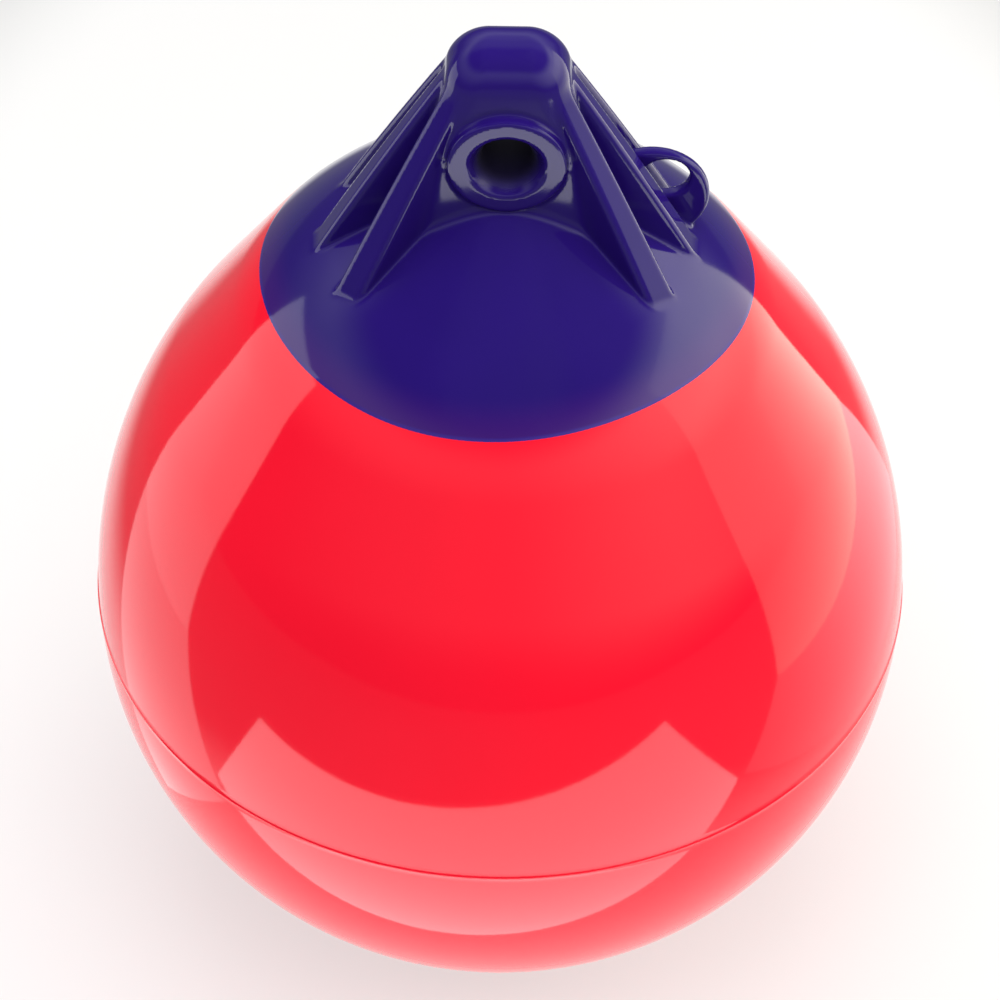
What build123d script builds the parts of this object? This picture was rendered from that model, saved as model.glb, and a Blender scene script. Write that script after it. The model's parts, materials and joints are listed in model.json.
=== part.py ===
import math
import os

from build123d import *

# Inflatable mooring buoy, eye up, in millimetres.
# The origin is on the axis in the water's surface; the rope eye's axis runs along Y.

# Float: a ball below the equator, a wider shoulder arc above it, then a cone that bends over
float_r = 101.6
draft = 45.0
float_wall = 2.8
shoulder_gain = 25.4
cone_slope = 0.64
bend_from_r = 66.0
bend_r = 80.0
seam_half = 0.7
seam_height = 0.35

# Rope hold's cap: it takes the bend on from its edge, over to a flatter cone.
# Its edge is set in from the start of the bend, and what stands on it from that edge.
cap_edge_in = 7.7
cap_skirt = 1.4
cap_wall = 5.0
cap_lap = 9.8
cap_top_angle = 33.0
crown_r = 8.0

# Head: heights are taken from the crown of the cap
head_root = 12.4
head_rise = 41.4
head_foot_w = 43.0
head_foot_t = 22.4
head_top_w = 26.4
head_top_t = 19.4
head_round = 9.0
head_root_round = 4.0

# Rope eye through the head, with a collar on each face
eye_rise = 12.5
eye_r = 6.0
eye_mouth_r = 10.2
eye_flare = 5.0
collar_reach = 13.0
collar_root = 7.0
collar_foot_r = 14.8
collar_face_r = 13.7

# Buttress ribs, each a wedge with a slightly curved crest
rib_azimuths = (0.0, 30.5, 149.5, 180.0, 210.5, 329.5)
rib_top_t = 5.0
rib_foot_t = 9.0
rib_round = 1.9
rib_top_reach = 14.5
rib_top_rise = 31.6
rib_waist_reach = 26.4
rib_waist_rise = 10.9
rib_foot_angle = 36.8
rib_core = 4.0

# Lashing eye behind the right-hand rib: a disc half sunk in the cap, with its hole off centre
lash_disc_r = 13.9
lash_disc_in = 23.7
lash_disc_lift = 2.9742
lash_y = 8.4
lash_t = 3.2
lash_round = 1.0
lash_r = 5.7
lash_shift_x = 3.4
lash_shift_z = 6.0

# Air valve on the back of the cap
valve_in = 23.3
valve_flange_r = 9.0
valve_sink = 1.6
valve_proud = 0.6
valve_shank_r = 6.2
valve_reach = 7.5
plug_head_r = 5.6
plug_head_t = 2.0
plug_stem_r = 3.5
plug_reach = 6.5
slot_w = 1.4
slot_depth = 1.1

equator_z = float_r - draft
shoulder_r = float_r + shoulder_gain
cone_angle = math.atan(cone_slope)
cone_r = shoulder_r * math.cos(cone_angle) - shoulder_gain
cone_z = equator_z + shoulder_r * math.sin(cone_angle)
bend_from_z = cone_z + (cone_r - bend_from_r) / cone_slope

# The bend starts tangent to the float's cone and ends tangent to the cap's
bend_start = math.pi / 2 - cone_angle
bend_end = math.radians(cap_top_angle)
bend_centre_r = bend_from_r - bend_r * math.sin(bend_start)
bend_centre_z = bend_from_z - bend_r * math.cos(bend_start)
cap_edge_r = bend_from_r - cap_edge_in
edge_angle = math.asin((cap_edge_r - bend_centre_r) / bend_r)
lap_end = edge_angle - cap_lap / bend_r


def on_ball(angle, depth):
    r = (float_r - depth) * math.cos(angle)
    return (r, equator_z + (float_r - depth) * math.sin(angle))


def on_shoulder(angle, depth):
    r = (shoulder_r - depth) * math.cos(angle) - shoulder_gain
    return (r, equator_z + (shoulder_r - depth) * math.sin(angle))


def on_bend(angle, depth):
    r = bend_centre_r + (bend_r - depth) * math.sin(angle)
    return (r, bend_centre_z + (bend_r - depth) * math.cos(angle))


def on_top(r, depth):
    foot = on_bend(bend_end, depth)
    return (r, foot[1] + (foot[0] - r) * math.tan(bend_end))


crown_z = on_top(crown_r, 0.0)[1]
seam_low = -math.asin(seam_half / float_r)
seam_high = math.asin(seam_half / shoulder_r)
lap_mid = (edge_angle + lap_end) / 2

with BuildPart() as float_body:
    with BuildSketch(Plane.XZ):
        with BuildLine():
            ThreePointArc((0.0, -draft), on_ball(-math.pi / 4, 0.0), on_ball(seam_low, 0.0))
            ThreePointArc(
                on_ball(seam_low, 0.0),
                (float_r + seam_height, equator_z),
                on_shoulder(seam_high, 0.0),
            )
            ThreePointArc(
                on_shoulder(seam_high, 0.0),
                on_shoulder(cone_angle / 2, 0.0),
                on_shoulder(cone_angle, 0.0),
            )
            Line(on_shoulder(cone_angle, 0.0), on_bend(bend_start, 0.0))
            ThreePointArc(
                on_bend(bend_start, 0.0),
                on_bend((bend_start + edge_angle) / 2, 0.0),
                on_bend(edge_angle, 0.0),
            )
            Line(on_bend(edge_angle, 0.0), on_bend(edge_angle, cap_skirt))
            ThreePointArc(
                on_bend(edge_angle, cap_skirt),
                on_bend(lap_mid, cap_skirt),
                on_bend(lap_end, cap_skirt),
            )
            Line(on_bend(lap_end, cap_skirt), on_bend(lap_end, float_wall))
            ThreePointArc(
                on_bend(lap_end, float_wall),
                on_bend(edge_angle, float_wall),
                on_bend(bend_start, float_wall),
            )
            Line(on_bend(bend_start, float_wall), on_shoulder(cone_angle, float_wall))
            ThreePointArc(
                on_shoulder(cone_angle, float_wall),
                on_shoulder(cone_angle / 2, float_wall),
                on_shoulder(0.0, float_wall),
            )
            ThreePointArc(
                on_ball(0.0, float_wall),
                on_ball(-math.pi / 4, float_wall),
                (0.0, float_wall - draft),
            )
            Line((0.0, float_wall - draft), (0.0, -draft))
        make_face()
    revolve(axis=Axis.Z)

# One buttress rib on the +X side: its side view cut to a wedge in plan
rib_foot = on_bend(math.radians(rib_foot_angle), cap_skirt / 2)
rib_root = on_bend(math.radians(rib_foot_angle), cap_wall - cap_skirt)
rib_top_z = crown_z + rib_top_rise

with BuildPart() as rib:
    with BuildSketch(Plane.XZ):
        with BuildLine():
            ThreePointArc(
                (rib_top_reach, rib_top_z),
                (rib_waist_reach, crown_z + rib_waist_rise),
                rib_foot,
            )
            Polyline(
                rib_foot,
                rib_root,
                on_top(rib_core, cap_wall - cap_skirt),
                (rib_core, rib_top_z),
                (rib_top_reach, rib_top_z),
            )
        make_face()
    extrude(amount=rib_foot_t, both=True)
    with BuildSketch(Plane.XY.offset(equator_z)):
        with BuildLine():
            Polyline(
                (0.0, -rib_top_t / 2),
                (rib_top_reach, -rib_top_t / 2),
                (rib_foot[0] + rib_round, -rib_foot_t / 2),
                (rib_foot[0] + rib_round, rib_foot_t / 2),
                (rib_top_reach, rib_top_t / 2),
                (0.0, rib_top_t / 2),
                close=True,
            )
        make_face()
    extrude(amount=2 * (rib_top_z - equator_z), mode=Mode.INTERSECT)
    crest = rib.edges().filter_by(lambda e: e.center().X > rib_waist_reach - rib_top_reach / 2)
    crest = crest.sort_by(SortBy.LENGTH)[-2:]
    fillet(crest, radius=rib_round)

lash_disc_x = cap_edge_r - lash_disc_in
lash_disc_z = on_top(lash_disc_x, 0.0)[1] + lash_disc_lift
lash_plane = Plane(origin=(lash_disc_x, lash_y, lash_disc_z), x_dir=(1, 0, 0), z_dir=(0, -1, 0))

with BuildPart() as lash_disc:
    with BuildSketch(lash_plane):
        Circle(lash_disc_r)
    extrude(amount=lash_t / 2, both=True)
    fillet(lash_disc.edges().filter_by(GeomType.CIRCLE), radius=lash_round)

valve_at = on_top(cap_edge_r - valve_in, 0.0)
valve_plane = Plane(
    origin=(0.0, valve_at[0], valve_at[1]),
    x_dir=(1, 0, 0),
    z_dir=(0, math.sin(bend_end), math.cos(bend_end)),
)
head_foot_z = crown_z - head_root
head_top_z = crown_z + head_rise
eye_z = crown_z + eye_rise
under_z = on_bend(edge_angle, cap_wall)[1]

with BuildPart() as rope_hold:
    with BuildSketch(Plane.XZ):
        with BuildLine():
            ThreePointArc(
                on_bend(edge_angle, 0.0),
                on_bend((edge_angle + bend_end) / 2, 0.0),
                on_bend(bend_end, 0.0),
            )
            Polyline(
                on_bend(bend_end, 0.0),
                (crown_r, crown_z),
                (0.0, crown_z),
                (0.0, under_z),
                on_bend(edge_angle, cap_wall),
                on_bend(edge_angle, 0.0),
            )
        make_face()
    revolve(axis=Axis.Z)
    with BuildSketch(Plane.XY.offset(head_foot_z)):
        SlotOverall(head_foot_w, head_foot_t)
    with BuildSketch(Plane.XY.offset(head_top_z)):
        SlotOverall(head_top_w, head_top_t)
    loft()
    fillet(rope_hold.faces().sort_by(Axis.Z)[-1].edges(), radius=head_round)
    root = rope_hold.edges().filter_by(lambda e: head_foot_z < e.center().Z < crown_z)
    fillet(root, radius=head_root_round)
    for azimuth in rib_azimuths:
        add(rib.part.rotate(Axis.Z, azimuth))
    add(lash_disc.part)
    for side in (-1, 1):
        face = Plane(origin=(0, 0, eye_z), x_dir=(1, 0, 0), z_dir=(0, side, 0))
        with BuildSketch(face.offset(collar_root)):
            Circle(collar_foot_r)
        with BuildSketch(face.offset(collar_reach)):
            Circle(collar_face_r)
        loft()
    with BuildSketch(Plane.YZ):
        with BuildLine():
            Polyline(
                (-2 * collar_reach, eye_z),
                (-2 * collar_reach, eye_z + eye_mouth_r),
                (-collar_reach, eye_z + eye_mouth_r),
                (eye_flare - collar_reach, eye_z + eye_r),
                (collar_reach - eye_flare, eye_z + eye_r),
                (collar_reach, eye_z + eye_mouth_r),
                (2 * collar_reach, eye_z + eye_mouth_r),
                (2 * collar_reach, eye_z),
                close=True,
            )
        make_face()
    revolve(axis=Axis((0, 0, eye_z), (0, 1, 0)), mode=Mode.SUBTRACT)
    with BuildSketch(Plane.XZ):
        with BuildLine():
            ThreePointArc(
                on_bend(edge_angle, cap_skirt),
                on_bend(lap_mid, cap_skirt),
                on_bend(lap_end, cap_skirt),
            )
            Line(on_bend(lap_end, cap_skirt), on_bend(lap_end, cap_wall))
            ThreePointArc(
                on_bend(lap_end, cap_wall),
                on_bend((lap_end + bend_end) / 2, cap_wall),
                on_bend(bend_end, cap_wall),
            )
            Polyline(
                on_bend(bend_end, cap_wall),
                on_top(crown_r, cap_wall),
                (0.0, on_top(crown_r, cap_wall)[1]),
                (0.0, under_z - cap_wall),
                (on_bend(edge_angle, cap_skirt)[0], under_z - cap_wall),
                on_bend(edge_angle, cap_skirt),
            )
        make_face()
    revolve(axis=Axis.Z, mode=Mode.SUBTRACT)
    with BuildSketch(lash_plane):
        with Locations((lash_shift_x, lash_shift_z)):
            Circle(lash_r)
    extrude(amount=lash_t / 2, both=True, mode=Mode.SUBTRACT)
    with BuildSketch(valve_plane.offset(-2 * valve_reach)):
        Circle(valve_shank_r)
    extrude(amount=2 * valve_reach, mode=Mode.SUBTRACT)
    with BuildSketch(valve_plane.offset(-valve_sink)):
        Circle(valve_flange_r)
    extrude(amount=valve_reach, mode=Mode.SUBTRACT)

# Air valve: a flanged bush moulded into the cap, closed by a slotted plug
with BuildPart() as valve_seat:
    with BuildSketch(valve_plane.offset(-valve_reach)):
        Circle(valve_shank_r)
        Circle(plug_stem_r, mode=Mode.SUBTRACT)
    extrude(amount=valve_reach - valve_sink)
    with BuildSketch(valve_plane.offset(-valve_sink)):
        Circle(valve_flange_r)
        Circle(plug_stem_r, mode=Mode.SUBTRACT)
    extrude(amount=valve_sink + valve_proud)
    with BuildSketch(valve_plane.offset(valve_proud - plug_head_t)):
        Circle(plug_head_r)
    extrude(amount=plug_head_t, mode=Mode.SUBTRACT)

with BuildPart() as valve_plug:
    with BuildSketch(valve_plane.offset(-plug_reach)):
        Circle(plug_stem_r)
    extrude(amount=plug_reach + valve_proud - plug_head_t)
    with BuildSketch(valve_plane.offset(valve_proud - plug_head_t)):
        Circle(plug_head_r)
    extrude(amount=plug_head_t)
    with BuildSketch(valve_plane.offset(valve_proud - slot_depth)):
        Rectangle(3 * plug_head_r, slot_w)
    extrude(amount=slot_depth, mode=Mode.SUBTRACT)

os.makedirs("parts", exist_ok=True)
float_body.part.label = "float_body"
export_step(float_body.part, "parts/float_body.step")
rope_hold.part.label = "rope_hold"
export_step(rope_hold.part, "parts/rope_hold.step")
valve_seat.part.label = "valve_seat"
export_step(valve_seat.part, "parts/valve_seat.step")
valve_plug.part.label = "valve_plug"
export_step(valve_plug.part, "parts/valve_plug.step")
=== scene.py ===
import json
import math

import bpy
from mathutils import Matrix, Vector


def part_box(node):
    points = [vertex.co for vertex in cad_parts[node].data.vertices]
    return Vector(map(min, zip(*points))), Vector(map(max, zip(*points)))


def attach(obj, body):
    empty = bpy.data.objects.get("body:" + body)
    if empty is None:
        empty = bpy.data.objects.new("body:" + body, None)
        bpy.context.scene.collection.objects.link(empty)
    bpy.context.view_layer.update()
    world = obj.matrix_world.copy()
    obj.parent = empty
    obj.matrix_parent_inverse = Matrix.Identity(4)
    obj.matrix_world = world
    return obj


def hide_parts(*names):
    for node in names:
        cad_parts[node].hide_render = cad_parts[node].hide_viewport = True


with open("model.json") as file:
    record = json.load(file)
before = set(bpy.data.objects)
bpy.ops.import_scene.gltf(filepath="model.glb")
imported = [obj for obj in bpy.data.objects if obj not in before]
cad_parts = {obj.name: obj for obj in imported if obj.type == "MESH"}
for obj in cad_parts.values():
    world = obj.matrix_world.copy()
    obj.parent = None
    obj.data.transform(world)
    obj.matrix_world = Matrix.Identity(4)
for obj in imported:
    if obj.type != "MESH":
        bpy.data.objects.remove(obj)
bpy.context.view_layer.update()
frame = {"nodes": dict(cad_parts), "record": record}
mounts = {m["name"]: m for m in frame["record"]["mounts"]}
mm = 0.001
print("frame:", ", ".join(sorted(frame["nodes"])))


class Wire:
    # one socket of a node tree: arithmetic on wires adds Math nodes
    def __init__(self, tree, socket=None):
        self.tree = tree
        self.socket = socket

    def node(self, kind, settings=None, values=None, out=0):
        made = self.tree.nodes.new(kind)
        for name, value in (settings or {}).items():
            setattr(made, name, value)
        for key, value in (values or {}).items():
            if isinstance(value, Wire):
                self.tree.links.new(value.socket, made.inputs[key])
            else:
                made.inputs[key].default_value = value
        return Wire(self.tree, made.outputs[out])

    def output(self, name):
        return Wire(self.tree, self.socket.node.outputs[name])

    def math(self, operation, *others):
        values = dict(enumerate((self, *others)))
        return self.node("ShaderNodeMath", {"operation": operation}, values)

    def vector(self, operation, other):
        settings = {"operation": operation}
        return self.node("ShaderNodeVectorMath", settings, {0: self, 1: other})

    def __add__(self, other):
        return self.math("ADD", other)

    def __sub__(self, other):
        return self.math("SUBTRACT", other)

    def __rsub__(self, other):
        return self.node("ShaderNodeMath", {"operation": "SUBTRACT"}, {0: other, 1: self})

    def __mul__(self, other):
        return self.math("MULTIPLY", other)

    def __truediv__(self, other):
        return self.math("DIVIDE", other)

    def __rtruediv__(self, other):
        return self.node("ShaderNodeMath", {"operation": "DIVIDE"}, {0: other, 1: self})

    def __neg__(self):
        return self.math("MULTIPLY", -1.0)

    def __abs__(self):
        return self.math("ABSOLUTE")

    def __gt__(self, other):
        return self.math("GREATER_THAN", other)

    __radd__ = __add__
    __rmul__ = __mul__

    def parts(self):
        split = self.node("ShaderNodeSeparateXYZ", None, {0: self})
        return [split.output(axis) for axis in "XYZ"]

    def atLeast(self, other):
        return self.math("MAXIMUM", other)

    def atMost(self, other):
        return self.math("MINIMUM", other)

    def weld(self, other, fillet):
        return self.math("SMOOTH_MIN", other, fillet)

    def cut(self, other, rounding):
        return self.math("SMOOTH_MAX", other, rounding)

    def fade(self, start, end, first, last):
        # runs smoothly from the first value to the last
        return self.node("ShaderNodeMapRange", {"interpolation_type": "SMOOTHSTEP"}, {
            "Value": self, "From Min": start, "From Max": end, "To Min": first, "To Max": last})

    def blend(self, first, second):
        # two colours, with this wire as the second one's share
        values = {"Factor": self, 6: first, 7: second}
        return self.node("ShaderNodeMix", {"data_type": "RGBA"}, values, 2)

    def grey(self):
        return self.node("ShaderNodeCombineColor", None, {i: self for i in range(3)})


def hypot(a, b):
    return (a * a + b * b).math("SQRT")


def roundedCorner(a, b, radius):
    # the solid inside both surfaces, with their common edge rounded
    a = a + radius
    b = b + radius
    return hypot(a.atLeast(0.0), b.atLeast(0.0)) + a.atLeast(b).atMost(0.0) - radius


def newTree(name, inputs):
    tree = bpy.data.node_groups.new(name, "GeometryNodeTree")
    for label, kind in inputs:
        tree.interface.new_socket(label, in_out="INPUT", socket_type=kind)
    return tree


def treeInputs(tree):
    start = tree.nodes.new("NodeGroupInput")
    return {s.name: Wire(tree, s) for s in start.outputs if s.name}


def treeResult(tree, name, kind, wire):
    tree.interface.new_socket(name, in_out="OUTPUT", socket_type=kind)
    end = tree.nodes.new("NodeGroupOutput")
    tree.links.new(wire.socket, end.inputs[name])


def finishSkin(tree, skin, material):
    for kind in ("GeometryNodeSetShadeSmooth", "GeometryNodeRealizeInstances"):
        skin = skin.node(kind, None, {"Geometry": skin})
    values = {"Geometry": skin, "Material": material}
    skin = skin.node("GeometryNodeSetMaterial", None, values)
    treeResult(tree, "Geometry", "NodeSocketGeometry", skin)


def keepResult(piece):
    # the modifier's result becomes the object's own plain mesh
    graph = bpy.context.evaluated_depsgraph_get()
    made = bpy.data.meshes.new_from_object(piece.evaluated_get(graph))
    piece.modifiers.clear()
    piece.vertex_groups.clear()
    piece.data = made
    made.name = piece.name


def runTree(name, tree, sizes, startMesh=None):
    piece = bpy.data.objects.new(name, startMesh or bpy.data.meshes.new(name))
    bpy.context.scene.collection.objects.link(piece)
    modifier = piece.modifiers.new("form", "NODES")
    modifier.node_group = tree
    for item in tree.interface.items_tree:
        if item.in_out == "INPUT" and item.name in sizes:
            modifier[item.identifier] = sizes[item.name]
    keepResult(piece)
    return piece


# The float's form, in millimetres, shared by its own mesh and the cap that carries it on
floatForm = {
    "radius": 101.6,
    "wall": 2.8,
    "shoulderR": 127.0,
    "coneSlope": 0.64,
    "bendFromR": 66.0,
    "bendR": 80.0,
    "capTopAngle": 33.0,
    "seamHalf": 0.6,
    "seamHeight": 0.28,
    "seamSteps": 8,
    "seamPower": 1.5,
    "neckR": 54.0,
    "neckSink": 1.4,
    "neckLap": 0.1,  # angle that the neck runs on under the cap
    "segments": 232,
    "step": 1.25,
    "insideEvery": 4,  # the inner wall keeps every fourth point
    "insideBendEvery": 3,
    "weldWithin": 0.002,
}

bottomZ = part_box("float_body")[0].z / mm
equatorZ = bottomZ + floatForm["radius"]
coneAngle = math.atan(floatForm["coneSlope"])
shoulderBack = floatForm["shoulderR"] - floatForm["radius"]
coneR = floatForm["shoulderR"] * math.cos(coneAngle) - shoulderBack
coneZ = equatorZ + floatForm["shoulderR"] * math.sin(coneAngle)
bendFromZ = coneZ + (coneR - floatForm["bendFromR"]) / floatForm["coneSlope"]
bendStart = math.pi / 2 - coneAngle
bendEnd = math.radians(floatForm["capTopAngle"])
bendCentreR = floatForm["bendFromR"] - floatForm["bendR"] * math.sin(bendStart)
bendCentreZ = bendFromZ - floatForm["bendR"] * math.cos(bendStart)


def onBend(angle):
    reach = floatForm["bendR"]
    return (bendCentreR + reach * math.sin(angle), bendCentreZ + reach * math.cos(angle))


def bendAngleAt(r):
    return math.asin((r - bendCentreR) / floatForm["bendR"])


def floatProfile():
    # outer wall from the bottom up to the neck, then back down inside
    form = floatForm
    wall = form["wall"]

    def arc(centreR, centreZ, radius, start, end):
        count = max(2, round(abs(end - start) * radius / form["step"]))
        angles = [start + (end - start) * i / count for i in range(count + 1)]
        return [(centreR + radius * math.cos(a), centreZ + radius * math.sin(a)) for a in angles]

    def ball(radius, end):
        return arc(0.0, equatorZ, radius, -math.pi / 2, end)

    def shoulder(radius, start):
        return arc(-shoulderBack, equatorZ, radius, start, coneAngle)

    def bend(radius, start, end):
        return arc(bendCentreR, bendCentreZ, radius, start, end)

    seamLow = -math.asin(form["seamHalf"] / form["radius"])
    seamHigh = math.asin(form["seamHalf"] / form["shoulderR"])
    neck = math.pi / 2 - bendAngleAt(form["neckR"])
    lap = neck + form["neckLap"]
    line = ball(form["radius"], seamLow)
    for i in range(1, form["seamSteps"]):
        share = i / form["seamSteps"]
        lift = form["seamHeight"] * math.sin(math.pi * share) ** form["seamPower"]
        line.append((form["radius"] + lift, equatorZ + form["seamHalf"] * (2 * share - 1)))
    line += shoulder(form["shoulderR"], seamHigh)
    line += bend(form["bendR"], coneAngle, neck)
    line += bend(form["bendR"] - form["neckSink"], neck, lap)
    every = form["insideEvery"]
    inside = ball(form["radius"] - wall, 0.0)[::every]
    inside += shoulder(form["shoulderR"] - wall, 0.0)[every - 1::every]
    inside += bend(form["bendR"] - wall, coneAngle, lap)[::form["insideBendEvery"]]
    return line + inside[::-1] + line[:1]


def latheTree():
    # turns a line of points round the Z axis
    tree = newTree("lathe", [
        ("Geometry", "NodeSocketGeometry"), ("Segments", "NodeSocketInt"),
        ("Points", "NodeSocketInt"), ("Weld", "NodeSocketFloat"),
        ("Material", "NodeSocketMaterial")])
    given = treeInputs(tree)
    wire = Wire(tree)
    sheet = wire.node("GeometryNodeMeshGrid", None, {
        "Vertices X": given["Segments"] + 1, "Vertices Y": given["Points"]})
    index = wire.node("GeometryNodeInputIndex")
    row = index.math("MODULO", given["Points"])
    column = (index / given["Points"]).math("FLOOR")
    where = wire.node("GeometryNodeInputPosition")
    point = wire.node("GeometryNodeSampleIndex", {"data_type": "FLOAT_VECTOR"}, {
        "Geometry": given["Geometry"], "Value": where, "Index": row})
    angle = column / given["Segments"] * (2 * math.pi)
    turned = wire.node("ShaderNodeVectorRotate", {"rotation_type": "Z_AXIS"}, {
        "Vector": point, "Angle": angle})
    skin = wire.node("GeometryNodeSetPosition", None, {"Geometry": sheet, "Position": turned})
    skin = wire.node("GeometryNodeMergeByDistance", None, {
        "Geometry": skin, "Distance": given["Weld"]})
    finishSkin(tree, skin, given["Material"])
    return tree


def makeFloat(material):
    line = floatProfile()
    outline = bpy.data.meshes.new("floatOutline")
    outline.from_pydata([(r * mm, 0.0, z * mm) for r, z in line], [], [])
    sizes = {"Segments": floatForm["segments"], "Points": len(line),
             "Weld": floatForm["weldWithin"] * mm, "Material": material}
    return runTree("floatSkin", latheTree(), sizes, outline)


# The rope hold's sizes, which its node tree takes as inputs: heights are from
# the waterline, in millimetres
eye = mounts["rope_eye"]
lashing = mounts["lashing_eye"]
holdForm = {
    "Head Top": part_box("rope_hold")[1].z / mm,
    "Head Foot": 183.2,
    "Head Foot Width": 43.0,
    "Head Foot Depth": 24.4,
    "Head Top Width": 26.4,
    "Head Top Depth": 19.6,
    "Head Round": 9.0,
    "Head Bow": 0.008,
    "Head Fillet": 3.0,
    "Corner Gain": 1.3,  # how fast the head's plan turns round, and from where
    "Corner From": 0.32,
    "Corner Least": 0.15,
    "Eye Height": eye["pos_m"][2] / mm,
    "Eye Radius": eye["dims"]["r_mm"],
    "Eye Round": 0.7,
    "Mouth Radius": 9.2,
    "Mouth Depth": 5.0,
    "Mouth Curve": 1.25,
    "Mouth End": 1.1,
    "Collar Reach": 13.0,
    "Collar Root": 7.0,
    "Collar Foot Radius": 14.8,
    "Collar Face Radius": 14.0,
    "Collar Round": 0.5,
    "Collar Fillet": 1.2,
    "Rib Angle": math.radians(28.5),
    "Rib Tilt": 0.5,
    "Rib Lean": 0.16,
    "Rib Shift": 0.4,
    "Rib Top Width": 5.4,
    "Rib Foot Width": 8.2,
    "Rib Round": 1.5,
    "Rib Fillet": 1.3,
    "Rib Top": 227.2,
    "Rib Top Round": 2.0,
    "Lash X": lashing["pos_m"][0] / mm,
    "Lash Y": lashing["pos_m"][1] / mm,
    "Lash Height": lashing["pos_m"][2] / mm,
    "Lash Radius": lashing["dims"]["r_mm"],
    "Lash Round": 1.0,
    "Lash Thickness": lashing["dims"]["length_mm"],
    "Lug Radius": 13.9,
    "Lug Round": 1.2,
    "Lug Fillet": 1.8,
    "Pocket Depth": 15.0,
    "Pocket Round": 0.4,
    "Wall": 5.0,
    "Skirt": 1.4,
    "Edge Radius": 59.6,
    "Edge Tilt": 3.5,
    "Edge Wave": 0.7,
}
holdPlan = {
    "sideRib": ((14.5, 227.2), (26.4, 206.5), (46.3, 169.6)),  # reach and height along the crest
    "quarterRib": ((14.5, 227.2), (26.4, 205.2), (43.6, 171.7)),
    "lugOffset": (-3.4, -6.0),  # disc's centre from its hole
    "edgeWaves": 3.0,
    "edgeWaveFrom": math.radians(46.0),
    "lapAngle": math.radians(41.2),
    "valveR": 35.0,
    "flangeR": 9.0,
    "flangeSink": 1.6,
    "shankR": 6.2,
    "proud": 0.05,
    "diveSlope": 0.16,
    "diveDepth": 0.45,
    "diveReach": 2.6,
    "voxel": 0.68,
    "margin": 1.5,
    "emptyBox": -10.0,  # the field's value outside the box
    "pulls": 4,  # steps that draw the net onto the surface
    "slopeStep": 0.05,
    "leastSlope": 0.3,
    "evenTurns": 3,
    "evenWeight": 0.6,
    "insideDepth": 1.3,
    "insideThinned": 0.8,
}


def capEdge(x, y, sizes):
    # radius of the cap's edge, which is tilted and wanders a little
    around = y.math("ARCTAN2", x)
    turns = (around + holdPlan["edgeWaveFrom"]) * holdPlan["edgeWaves"]
    wave = turns.math("COSINE") * sizes["Edge Wave"]
    return sizes["Edge Radius"] + sizes["Edge Tilt"] * around.math("SINE") - wave


def ribCrest(points, reach, z):
    # height above a gently curved line through the crest's three points
    (u0, z0), (u1, z1), (u2, z2) = points
    slope = (z1 - z0) / (u1 - u0)
    curve = ((z2 - z1) / (u2 - u1) - slope) / (u2 - u0)
    line = z0 + (reach - u0) * slope + (reach - u0) * (reach - u1) * curve
    return (z - line) * math.cos(math.atan((z2 - z0) / (u2 - u0)))


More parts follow.
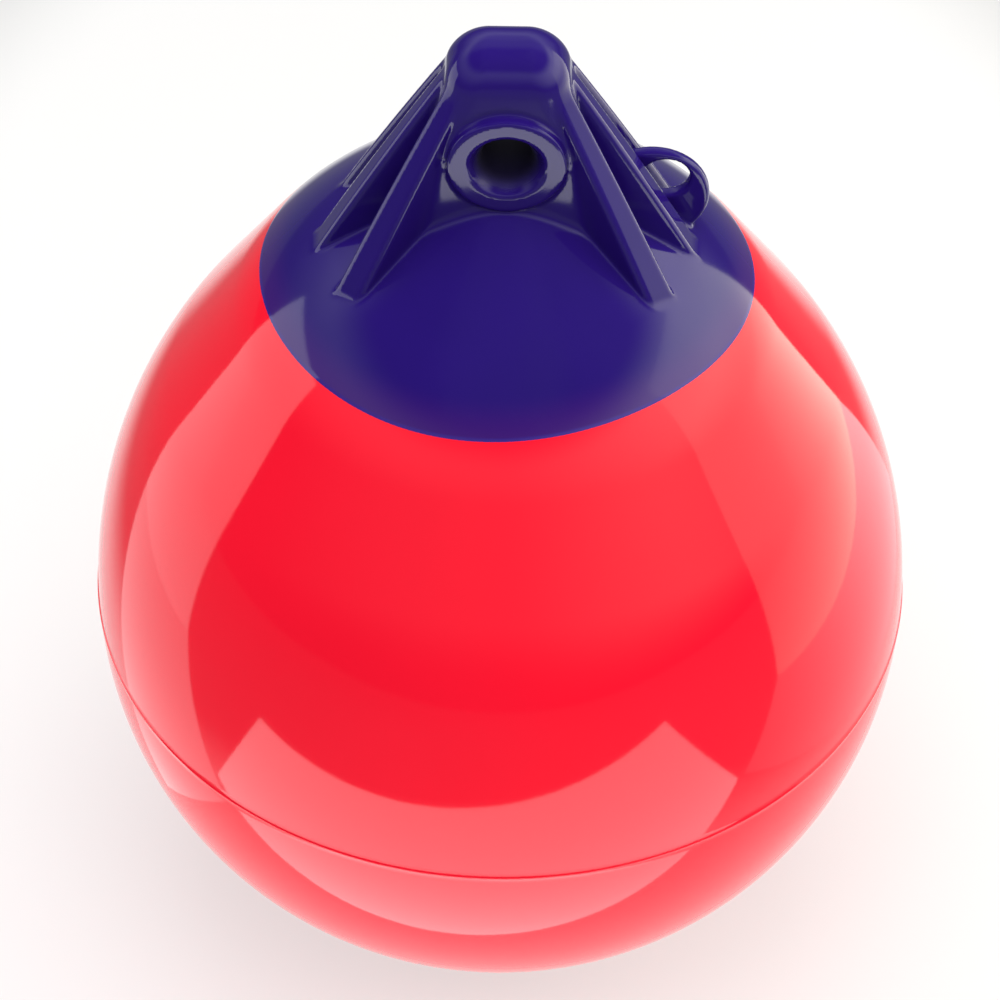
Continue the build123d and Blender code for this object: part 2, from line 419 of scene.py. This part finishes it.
def holdDistanceTree():
    # distance in millimetres from a point to the moulding's surface, negative inside it
    plan = holdPlan
    names = [("Point", "NodeSocketVector")] + [(name, "NodeSocketFloat") for name in holdForm]
    tree = newTree("ropeHoldDistance", names)
    s = treeInputs(tree)

    def between(share, start, end):
        return s[start] + share * (s[end] - s[start])

    x, y, z = s["Point"].vector("MULTIPLY", (1 / mm, 1 / mm, 1 / mm)).parts()
    ax = abs(x)
    ay = abs(y)
    r = hypot(x, y)

    # cap: a bend that ends in a cone; its wandering edge dives under the float's skin
    br = r - bendCentreR
    bz = z - bendCentreZ
    onRound = (br * math.cos(bendEnd) - bz * math.sin(bendEnd)) > 0.0
    flat = br * math.sin(bendEnd) + bz * math.cos(bendEnd)
    dome = flat + onRound * (hypot(br, bz) - flat) - floatForm["bendR"]
    edgeR = capEdge(x, y, s)
    dive = ((edgeR - r) * plan["diveSlope"]).atLeast(-plan["diveDepth"])
    dome = dome - dive.atMost(plan["proud"])

    # head: flat-faced at its foot and rounder above, with a top that falls to the front
    rise = (z - s["Head Foot"]) / (s["Head Top"] - s["Head Foot"])
    halfWidth = between(rise, "Head Foot Width", "Head Top Width") * 0.5
    halfDepth = between(rise, "Head Foot Depth", "Head Top Depth") * 0.5
    turned = (rise * s["Corner Gain"] - s["Corner From"]).atLeast(s["Corner Least"])
    corner = halfDepth * turned.atMost(1.0)
    alongX = (ax - (halfWidth - corner)).atLeast(0.0)
    alongY = (ay - (halfDepth - corner)).atLeast(0.0)
    front = (-y).atLeast(0.0)
    above = z - s["Head Top"] + front * front * s["Head Bow"]
    head = roundedCorner(hypot(alongX, alongY) - corner, above, s["Head Round"])
    body = dome.weld(head, s["Head Fillet"])

    # ribs: one on each side and one at each quarter, by symmetry
    turnX = s["Rib Angle"].math("COSINE")
    turnY = s["Rib Angle"].math("SINE")
    outward = ax * turnX + ay * turnY
    sideways = ay * turnX - ax * turnY - s["Rib Shift"]
    kinds = ((plan["sideRib"], ax, ay, 0.0, 0.0),
             (plan["quarterRib"], outward, sideways, s["Rib Tilt"], s["Rib Lean"]))
    ribs = None
    for points, reach, across, tilt, lean in kinds:
        topReach = points[0][0]
        footReach = points[-1][0]
        spread = ((reach - topReach) / (footReach - topReach)).atLeast(0.0)
        half = between(spread, "Rib Top Width", "Rib Foot Width") * 0.5
        crest = ribCrest(points, reach, z + across * tilt)
        rib = roundedCorner(abs(across - crest * lean) - half, crest, s["Rib Round"])
        rib = rib.cut(z - s["Rib Top"], s["Rib Top Round"])
        ribs = rib if ribs is None else ribs.atMost(rib)
    body = body.weld(ribs, s["Rib Fillet"])

    # collars on both faces of the head
    fromEye = hypot(x, z - s["Eye Height"])
    out = (ay - s["Collar Root"]) / (s["Collar Reach"] - s["Collar Root"])
    collarR = between(out, "Collar Foot Radius", "Collar Face Radius")
    collar = roundedCorner(fromEye - collarR, ay - s["Collar Reach"], s["Collar Round"])
    body = body.weld(collar, s["Collar Fillet"])

    # lashing eye: a disc half sunk in the cap, with its hole off centre
    lx = x - s["Lash X"]
    lz = z - s["Lash Height"]
    offX, offZ = plan["lugOffset"]
    discR = hypot(lx - offX, lz - offZ) - s["Lug Radius"]
    slab = abs(y - s["Lash Y"]) - s["Lash Thickness"] * 0.5
    lug = roundedCorner(discR, slab, s["Lug Round"])
    lug = lug.cut(s["Lash Radius"] - hypot(lx, lz), s["Lash Round"])
    body = body.weld(lug, s["Lug Fillet"])

    # rope eye with its flared mouths
    inMouth = (ay - s["Collar Reach"] + s["Mouth Depth"]) / s["Mouth Depth"]
    flare = inMouth.atLeast(0.0).atMost(s["Mouth End"]).math("POWER", s["Mouth Curve"])
    boreR = between(flare, "Eye Radius", "Mouth Radius")
    body = body.cut(boreR - fromEye, s["Eye Round"])

    # pocket for the valve, square to the cap at the back
    endR, endZ = onBend(bendEnd)
    valveZ = endZ + (endR - plan["valveR"]) * math.tan(bendEnd)
    vy = y - plan["valveR"]
    vz = z - valveZ
    up = vy * math.sin(bendEnd) + vz * math.cos(bendEnd)
    off = hypot(x, vy * math.cos(bendEnd) - vz * math.sin(bendEnd))
    pocket = (off - plan["flangeR"]).atLeast(-plan["flangeSink"] - up)
    pocket = pocket.atMost(off - plan["shankR"])
    body = body.cut(-pocket.atLeast(-s["Pocket Depth"] - up), s["Pocket Round"])

    # hollow inside, with a thinner skirt over the float's neck
    lapSide = br * math.cos(plan["lapAngle"]) - bz * math.sin(plan["lapAngle"])
    hollow = (dome + s["Wall"]).atMost((dome + s["Skirt"]).atLeast(-lapSide))
    body = body.atLeast(-hollow)
    body = body.atLeast(r - edgeR - plan["diveReach"])
    treeResult(tree, "Distance", "NodeSocketFloat", body)
    return tree


def holdTree():
    # fills a box with the distance field, skins it, then draws each point onto the true surface
    plan = holdPlan
    field = holdDistanceTree()
    sizes = [(name, "NodeSocketFloat") for name in holdForm]
    tree = newTree("ropeHold", sizes + [
        ("Low", "NodeSocketVector"), ("High", "NodeSocketVector"),
        ("Voxel", "NodeSocketFloat"), ("Material", "NodeSocketMaterial")])
    given = treeInputs(tree)
    wire = Wire(tree)

    def distance(point):
        values = {name: given[name] for name in holdForm}
        return wire.node("GeometryNodeGroup", {"node_tree": field}, {"Point": point, **values})

    where = wire.node("GeometryNodeInputPosition")
    values = {"Density": -distance(where), "Background": plan["emptyBox"],
              "Min": given["Low"], "Max": given["High"]}
    lengths = given["High"].vector("SUBTRACT", given["Low"]).parts()
    for axis, length in zip("XYZ", lengths):
        values["Resolution " + axis] = (length / given["Voxel"]).math("ROUND")
    cloud = wire.node("GeometryNodeVolumeCube", None, values)
    skin = wire.node("GeometryNodeVolumeToMesh", None, {"Volume": cloud, "Threshold": 0.0})
    for turn in range(plan["pulls"]):
        if turn == 1:  # evens out the net before the last steps
            even = wire.node("GeometryNodeBlurAttribute", {"data_type": "FLOAT_VECTOR"}, {
                "Value": where, "Iterations": plan["evenTurns"], "Weight": plan["evenWeight"]})
            skin = wire.node("GeometryNodeSetPosition", None, {"Geometry": skin, "Position": even})
        here = distance(where)
        slopes = []
        for axis in range(3):
            shift = [plan["slopeStep"] * mm if i == axis else 0.0 for i in range(3)]
            slopes.append((distance(where.vector("ADD", shift)) - here) / plan["slopeStep"])
        steep = slopes[0] * slopes[0] + slopes[1] * slopes[1] + slopes[2] * slopes[2]
        pull = here * -mm / steep.atLeast(plan["leastSlope"])
        move = wire.node("ShaderNodeCombineXYZ", None, dict(zip("XYZ", (
            slope * pull for slope in slopes))))
        skin = wire.node("GeometryNodeSetPosition", None, {"Geometry": skin, "Offset": move})
    finishSkin(tree, skin, given["Material"])
    return tree


def thinInside(piece):
    # fewer faces on the inner side, which the float hides
    inner = []
    for vertex in piece.data.vertices:
        br = math.hypot(vertex.co.x, vertex.co.y) / mm - bendCentreR
        bz = vertex.co.z / mm - bendCentreZ
        reach = br * math.sin(bendEnd) + bz * math.cos(bendEnd)
        if br * math.cos(bendEnd) > bz * math.sin(bendEnd):
            reach = math.hypot(br, bz)
        if reach < floatForm["bendR"] - holdPlan["insideDepth"]:
            inner.append(vertex.index)
    piece.vertex_groups.new(name="inside").add(inner, 1.0, "REPLACE")
    modifier = piece.modifiers.new("thin", "DECIMATE")
    modifier.vertex_group = "inside"
    modifier.ratio = 1.0 - holdPlan["insideThinned"] * len(inner) / len(piece.data.vertices)
    keepResult(piece)
    print("inside thinned:", len(inner), "points")


def makeRopeHold(material):
    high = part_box("rope_hold")[1]
    margin = holdPlan["margin"]
    reach = (holdForm["Edge Radius"] + holdForm["Edge Tilt"] + holdForm["Edge Wave"]
             + holdPlan["diveReach"] + margin) * mm
    lowest = onBend(bendAngleAt(reach / mm))[1] * mm - margin * mm
    sizes = dict(holdForm)
    sizes["Low"] = (-reach, -reach, lowest)
    sizes["High"] = (reach, reach, high.z + margin * mm)
    sizes["Voxel"] = holdPlan["voxel"] * mm
    sizes["Material"] = material
    piece = runTree("ropeHoldMoulding", holdTree(), sizes)
    thinInside(piece)
    return piece


def newMaterial(name):
    material = bpy.data.materials.new(name)
    material.use_nodes = True
    material.node_tree.nodes.clear()
    return material, Wire(material.node_tree)


def surface(wire, shader):
    end = wire.tree.nodes.new("ShaderNodeOutputMaterial")
    wire.tree.links.new(shader.socket, end.inputs["Surface"])


def objectPlace(wire):
    return wire.node("ShaderNodeTexCoord", None, None, "Object")


def speckle(place, scale, detail):
    values = {"Vector": place, "Scale": scale, "Detail": detail}
    return place.node("ShaderNodeTexNoise", None, values)


def grainBump(look, grain):
    return grain.node("ShaderNodeBump", None, {
        "Strength": look["grain"], "Distance": look["grainDepth"], "Height": grain})


def vinylShader(look, place, colour, rough):
    grain = speckle(place, look["grainScale"], look["grainDetail"])
    return place.node("ShaderNodeBsdfPrincipled", None, {
        "Base Color": colour, "Roughness": rough, "Normal": grainBump(look, grain),
        "IOR": look["ior"]})


redVinyl = {
    "colour": (0.93, 0.006, 0.028, 1),
    "deep": (0.88, 0.004, 0.023, 1),
    "cloudScale": 22.0,
    "cloudDetail": 2.0,
    "rough": 0.045,
    "roughSpread": 0.03,
    "grain": 0.02,
    "grainDepth": 0.0001,
    "grainScale": 900.0,
    "grainDetail": 1.0,
    "ior": 1.45,
}


def makeRedVinyl():
    look = redVinyl
    material, wire = newMaterial("redVinyl")
    place = objectPlace(wire)
    clouds = speckle(place, look["cloudScale"], look["cloudDetail"])
    colour = clouds.blend(look["colour"], look["deep"])
    rough = clouds * look["roughSpread"] + look["rough"]
    surface(wire, vinylShader(look, place, colour, rough))
    return material


# Zones: millimetres where the zone starts and ends, and its colour's share at the start
blueVinyl = {
    "colour": (0.0185, 0.0058, 0.146, 1),
    "deep": (0.014, 0.0047, 0.12, 1),
    "edge": (0.05, 0.009, 0.14, 1),
    "edgeZone": (0.4, 8.0, 0.6),
    "line": (0.025, 0.008, 0.2, 1),
    "lineZone": (0.3, 0.75, 0.75),
    # painted shade inside the rope eye's bore: its colour, and where it fades out
    "bore": (0.004, 0.002, 0.02, 1),
    "boreZone": (0.15, 2.8, 1.0),
    "boreRough": 0.7,
    "cloudScale": 40.0,
    "cloudDetail": 2.0,
    "rough": 0.06,
    "roughSpread": 0.05,
    "grain": 0.03,
    "grainDepth": 0.0001,
    "grainScale": 1100.0,
    "grainDetail": 1.0,
    "ior": 1.45,
}


def makeBlueVinyl():
    look = blueVinyl
    material, wire = newMaterial("blueVinyl")
    place = objectPlace(wire)
    clouds = speckle(place, look["cloudScale"], look["cloudDetail"])
    colour = clouds.blend(look["colour"], look["deep"])
    x, y, z = place.parts()
    # the moulding thins out towards its edge and the red below shows through
    fromEdge = capEdge(x, y, holdForm) - hypot(x, y) / mm
    for zone in ("edge", "line"):
        start, end, share = look[zone + "Zone"]
        colour = fromEdge.fade(start, end, share, 0.0).blend(colour, look[zone])
    # the rope eye's bore is painted dark, a painted shade in the hole, and made rough
    fromEye = hypot(x, z - eye["pos_m"][2]) / mm
    start, end, share = look["boreZone"]
    eyeR = holdForm["Eye Radius"]
    boreShadeAndRough = fromEye.fade(eyeR + start, eyeR + end, share, 0.0)
    colour = boreShadeAndRough.blend(colour, look["bore"])
    rough = clouds * look["roughSpread"] + look["rough"] + boreShadeAndRough * look["boreRough"]
    surface(wire, vinylShader(look, place, colour, rough))
    return material


valvePlastic = {
    "dark": (0.03, 0.03, 0.032, 1),
    "light": (0.05, 0.05, 0.053, 1),
    "rough": 0.35,
    "roughSpread": 0.15,
    "grain": 0.1,
    "grainDepth": 0.0001,
    "grainScale": 1500.0,
    "grainDetail": 2.0,
}


def makeValvePlastic():
    look = valvePlastic
    material, wire = newMaterial("valvePlastic")
    grain = speckle(objectPlace(wire), look["grainScale"], look["grainDetail"])
    shader = wire.node("ShaderNodeBsdfPrincipled", None, {
        "Base Color": grain.blend(look["dark"], look["light"]),
        "Roughness": grain * look["roughSpread"] + look["rough"],
        "Normal": grainBump(look, grain)})
    surface(wire, shader)
    return material


# Place of the camera as the photograph shows the buoy: focal length and centre are
# in pixels of the picture
view = {
    "elevation": 47.0,
    "distance": 1.5,
    "focal": 5921.3,
    "roll": 0.91,
    "centre": (500.3, 570.8),
    "picture": 1000,
    "sensor": 36.0,
}


def makeCamera():
    lift = math.radians(view["elevation"])
    roll = math.radians(view["roll"])
    back = Vector((0.0, -math.cos(lift), math.sin(lift)))
    right = Vector((1.0, 0.0, 0.0))
    up = Vector((0.0, math.sin(lift), math.cos(lift)))
    camX = right * math.cos(roll) + up * math.sin(roll)
    camY = up * math.cos(roll) - right * math.sin(roll)
    picture = view["picture"]
    lens = bpy.data.cameras.new("camera")
    lens.sensor_width = view["sensor"]
    lens.lens = view["focal"] * lens.sensor_width / picture
    lens.shift_x = (picture / 2 - view["centre"][0]) / picture
    lens.shift_y = (view["centre"][1] - picture / 2) / picture
    camera = bpy.data.objects.new("camera", lens)
    target = Vector((0.0, 0.0, equatorZ * mm))
    spot = target + back * view["distance"]
    camera.matrix_world = Matrix((
        (camX.x, camY.x, back.x, spot.x),
        (camX.y, camY.y, back.y, spot.y),
        (camX.z, camY.z, back.z, spot.z),
        (0, 0, 0, 1),
    ))
    bpy.context.scene.collection.objects.link(camera)
    bpy.context.scene.camera = camera


floorLook = {
    "half": 3.0,
    "below": 0.0004,
    "pale": 0.78,
    "shown": 0.6,  # share of plain white that the camera and reflections see
    "sheet": (0.17, 0.27, 0.1),  # half width, half depth and middle of a painted pool of light on the floor
    "sheetFade": (1.05, 1.7),  # where the painted pool of light fades out, in pool sizes from its middle
    # tone of the floor far from the buoy: painted shade, darker grey where the painted light has
    # faded
    "far": 0.28,
}


def makeFloor():
    look = floorLook
    half = look["half"]
    z = bottomZ * mm - look["below"]
    corners = [(-half, -half, z), (half, -half, z), (half, half, z), (-half, half, z)]
    mesh = bpy.data.meshes.new("floor")
    mesh.from_pydata(corners, [], [(0, 1, 2, 3)])
    floor = bpy.data.objects.new("floor", mesh)
    material, wire = newMaterial("paleFloor")
    x, y, _ = objectPlace(wire).parts()
    width, depth, middle = look["sheet"]
    # the floor's colour is a painted pool of light: white round the buoy, darker grey further out,
    # also in what the camera and reflections see
    lightPoolTone = hypot(x / width, (y - middle) / depth).fade(*look["sheetFade"], 1.0, look["far"])
    matt = wire.node("ShaderNodeBsdfDiffuse", None, {"Color": (lightPoolTone * look["pale"]).grey()})
    plain = wire.node("ShaderNodeEmission", None, {"Color": lightPoolTone.grey()})
    ray = wire.node("ShaderNodeLightPath", None, None, "Is Camera Ray")
    seen = ray.atLeast(ray.output("Is Glossy Ray")).atLeast(ray.output("Is Transmission Ray"))
    values = {0: seen * look["shown"], 1: matt, 2: plain}
    surface(wire, wire.node("ShaderNodeMixShader", None, values))
    mesh.materials.append(material)
    bpy.context.scene.collection.objects.link(floor)


# Lamps: place, aim, width, height, how bright each face is, and the dim end's share of that
lamps = {
    "overhead": ((0.0, 0.15, 1.25), (0.0, 0.02, 0.1), 0.9, 0.6, 4.0, 1.0),
    "leftBox": ((-0.42, 0.065, 0.13), (0.0, 0.065, 0.13), 0.25, 0.35, 1.7, 1.0),
    "rightScrim": ((0.42, 0.095, 0.2), (0.0, 0.095, 0.2), 0.49, 0.49, 4.0, 0.35),
    "fill": ((0.0, -0.55, 1.3), (0.0, 0.0, 0.1), 1.0, 0.8, 4.8, 1.0),
}
lampPlan = {
    "noGloss": ("fill", "overhead"),  # these light the colours, but are not mirrored
    "topLoss": 0.75,  # a lamp with a dim end is this much weaker at its top, too
}


def makeLamps():
    for name, (place, aim, width, height, bright, dimEnd) in lamps.items():
        light = bpy.data.lights.new(name, "AREA")
        light.shape = "RECTANGLE"
        light.size = width
        light.size_y = height
        light.energy = bright * math.pi * width * height
        if dimEnd < 1.0:
            light.color = studio["warmth"][:3]
            light.use_nodes = True
            wire = Wire(light.node_tree)
            spot = wire.node("ShaderNodeNewGeometry", None, None, "Parametric")
            across, rise, _ = spot.parts()
            strength = (dimEnd + across * (1.0 - dimEnd)) * (1.0 - rise * lampPlan["topLoss"])
            shine = light.node_tree.nodes["Emission"].inputs["Strength"]
            light.node_tree.links.new(strength.socket, shine)
        lamp = bpy.data.objects.new(name, light)
        lamp.location = place
        lamp.rotation_euler = (Vector(aim) - Vector(place)).to_track_quat("-Z", "Y").to_euler()
        lamp.visible_camera = False
        lamp.visible_glossy = name not in lampPlan["noGloss"]
        bpy.context.scene.collection.objects.link(lamp)


# Studio walls: a soft glow above the front, brighter and warmer to the right;
# rises and falls are heights on a ball of radius 1
studio = {
    "least": 0.1,
    "glow": 0.6,
    "glowRise": (0.05, 0.55),
    "topFall": (0.5, 0.74),
    "topShare": 0.06,
    "scrim": 1.5,
    "scrimPower": 1.5,
    "scrimRise": (-0.05, 0.3),
    "scrimFull": math.radians(75.0),
    "scrimEnd": (math.radians(100.0), math.radians(150.0)),
    "back": 0.4,
    "backFrom": (0.1, 0.5),
    "backRise": (0.3, 0.6),
    "white": (1, 1, 1, 1),
    "warmth": (1.0, 0.97, 0.8, 1),
}


def makeStudio():
    look = studio
    world = bpy.data.worlds.new("studio")
    bpy.context.scene.world = world
    world.use_nodes = True
    world.node_tree.nodes.clear()
    wire = Wire(world.node_tree)
    x, y, z = wire.node("ShaderNodeTexCoord", None, None, "Generated").parts()
    around = x.math("ARCTAN2", -y)
    high = z.fade(*look["topFall"], 1.0, look["topShare"])
    toRight = (around / look["scrimFull"]).atLeast(0.0).atMost(1.0)
    scrim = toRight.math("POWER", look["scrimPower"]) * around.fade(*look["scrimEnd"], 1.0, 0.0)
    scrim = scrim * high * z.fade(*look["scrimRise"], 0.0, 1.0) * look["scrim"]
    glow = z.fade(*look["glowRise"], look["least"], look["glow"]) * high
    behind = y.fade(*look["backFrom"], 0.0, look["back"]) * z.fade(*look["backRise"], 0.0, 1.0)
    glow = glow + behind
    tint = (scrim / (scrim + glow)).blend(look["white"], look["warmth"])
    back = wire.node("ShaderNodeBackground", None, {"Color": tint, "Strength": scrim + glow})
    end = world.node_tree.nodes.new("ShaderNodeOutputWorld")
    world.node_tree.links.new(back.socket, end.inputs["Surface"])


# White boards on the floor round about, out of the picture, that the float mirrors:
# corners, brightness, and its shares nearest the buoy's middle and at the front
boards = {
    "frontBoard": (((-326, -214), (441, -516), (200, -143), (-176, -86)), 2.9, 1.0, 1.0),
    "leftBoard": (((-420, 190), (-420, -62), (-150, -84), (-115, -10)), 1.6, 1.0, 1.0),
    "rightBoard": (((206, -138), (420, -150), (420, 340), (165, 150)), 2.9, 0.4, 0.35),
}
boardLift = 0.0002


def makeBoards():
    z = bottomZ * mm - floorLook["below"] + boardLift
    for name, (corners, bright, nearShare, frontShare) in boards.items():
        mesh = bpy.data.meshes.new(name)
        points = [(x * mm, y * mm, z) for x, y in corners]
        mesh.from_pydata(points, [], [tuple(range(len(corners)))])
        board = bpy.data.objects.new(name, mesh)
        material, wire = newMaterial(name)
        x, y, _ = objectPlace(wire).parts()
        reach = max(abs(p[0]) for p in points)
        back = max(p[1] for p in points)
        front = min(p[1] for p in points)
        shine = nearShare + (1.0 - nearShare) * (abs(x) / reach)
        shine = shine * (frontShare + (1.0 - frontShare) * ((y - front) / (back - front)))
        lit = wire.node("ShaderNodeEmission", None, {"Color": shine.grey(), "Strength": bright})
        clear = wire.node("ShaderNodeBsdfTransparent")
        underside = wire.node("ShaderNodeNewGeometry", None, None, "Backfacing")
        values = {0: underside, 1: lit, 2: clear}
        surface(wire, wire.node("ShaderNodeMixShader", None, values))
        mesh.materials.append(material)
        board.visible_camera = False
        bpy.context.scene.collection.objects.link(board)


bpy.context.scene.view_settings.view_transform = "Standard"
makeCamera()
makeFloor()
makeLamps()
makeStudio()
makeBoards()
print("camera, floor and lamps placed")

red = makeRedVinyl()
blue = makeBlueVinyl()
black = makeValvePlastic()
print("finishes mixed")

floatSkin = makeFloat(red)
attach(floatSkin, "root")
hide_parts("float_body")
print("float:", len(floatSkin.data.polygons), "faces")

ropeHold = makeRopeHold(blue)
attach(ropeHold, "root")
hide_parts("rope_hold")
print("rope hold:", len(ropeHold.data.polygons), "faces")

for name in ("valve_seat", "valve_plug"):
    frame["nodes"][name].data.materials.clear()
    frame["nodes"][name].data.materials.append(black)
print("valve finished")
